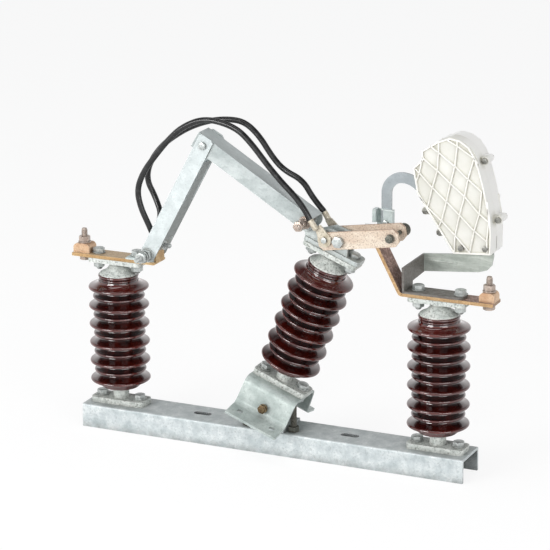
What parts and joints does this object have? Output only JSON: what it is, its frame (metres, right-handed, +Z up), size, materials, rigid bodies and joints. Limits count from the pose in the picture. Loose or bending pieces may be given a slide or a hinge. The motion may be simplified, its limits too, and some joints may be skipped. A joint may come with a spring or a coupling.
{
  "type": "single-pole substation disconnect switch",
  "caption": "Disconnect switch pole: two fixed post insulators and a tilting one on a channel, folding links, copper blades, arcing horn and arc chute.",
  "frame": {"origin": "midway between the two mounting slots, on the top face of the base channel", "axes": "+X along the channel towards the fixed contact, +Y towards the arc chute's side, +Z up"},
  "size_m": [0.8385, 0.2047, 0.6247],
  "materials": {
    "galvanised": "hot-dip galvanised steel, mottled grey",
    "porcelain": null,
    "cast_fittings": "galvanised cast iron with grey cement",
    "copper": "bare copper bar, dull, orange to pale pink",
    "clamp_brass": "bare bronze clamp pieces",
    "tinned_lugs": "tinned copper cable lugs",
    "chute_plastic": "cream white moulded arc chute",
    "cable_jacket": "black flexible cable jacket",
    "zinc_bolts": "zinc plated bolts, nuts and washers"
  },
  "bodies": {
    "base": {"anchor_pin": "zinc_bolts", "base_channel": "galvanised", "chute_bolts": "zinc_bolts", "chute_bracket": "galvanised", "chute_front_half": "chute_plastic", "chute_rear_half": "chute_plastic", "clamp_studs": "clamp_brass", "far_cable": "cable_jacket", "left_base_bolts": "zinc_bolts", "left_conductor_keeper": "clamp_brass", "left_end_fittings": "cast_fittings", "left_porcelain": "porcelain", "left_terminal_plate": "copper", "left_top_bolts": "zinc_bolts", "link_anchor": "galvanised", "near_cable": "cable_jacket", "pivot_bolt": "zinc_bolts", "pivot_pedestal": "galvanised", "right_base_bolts": "zinc_bolts", "right_conductor_keeper": "clamp_brass", "right_end_fittings": "cast_fittings", "right_porcelain": "porcelain", "right_terminal_contact": "copper", "right_top_bolts": "zinc_bolts", "stop_bolts": "zinc_bolts", "tab_bolt": "zinc_bolts", "tab_lugs": "tinned_lugs"},
    "rocker": {"rocker_porcelain": "porcelain", "rocker_end_fittings": "cast_fittings", "rocker_base_bolts": "zinc_bolts", "rocker_top_bolts": "zinc_bolts", "rocker_saddle": "galvanised", "blade_carrier": "galvanised", "near_blade_bar": "copper", "far_blade_bar": "copper", "blade_bolts": "zinc_bolts", "contact_spring_bolt": "zinc_bolts", "blade_lugs": "tinned_lugs", "arcing_horn": "galvanised", "horn_holder": "galvanised", "horn_screws": "zinc_bolts", "rocker_pin": "zinc_bolts"},
    "lower_link": {"lower_link": "galvanised", "knee_bolt": "zinc_bolts"},
    "upper_link": {"upper_link": "galvanised"}
  },
  "joints": [
    {"name": "rocker_tilt", "type": "hinge", "parent": "base", "child": "rocker", "pos_m": [0, 0, 0.048], "axis": [0, -1, 0], "range_deg": [0, 43], "deforming": ["near_cable", "far_cable"]},
    {"name": "lower_link_swing", "type": "hinge", "parent": "base", "child": "lower_link", "pos_m": [-0.2475, 0, 0.305], "axis": [0, -1, 0], "range_deg": [0, 54]},
    {"name": "upper_link_swing", "type": "hinge", "parent": "rocker", "child": "upper_link", "pos_m": [0.0715, 0, 0.4005], "axis": [0, -1, 0], "range_deg": [-60, 0]}
  ],
  "couplings": [
    {"joint": "lower_link_swing", "follows": "rocker_tilt", "ratio": 1.244},
    {"joint": "upper_link_swing", "follows": "rocker_tilt", "ratio": -1.376}
  ]
}
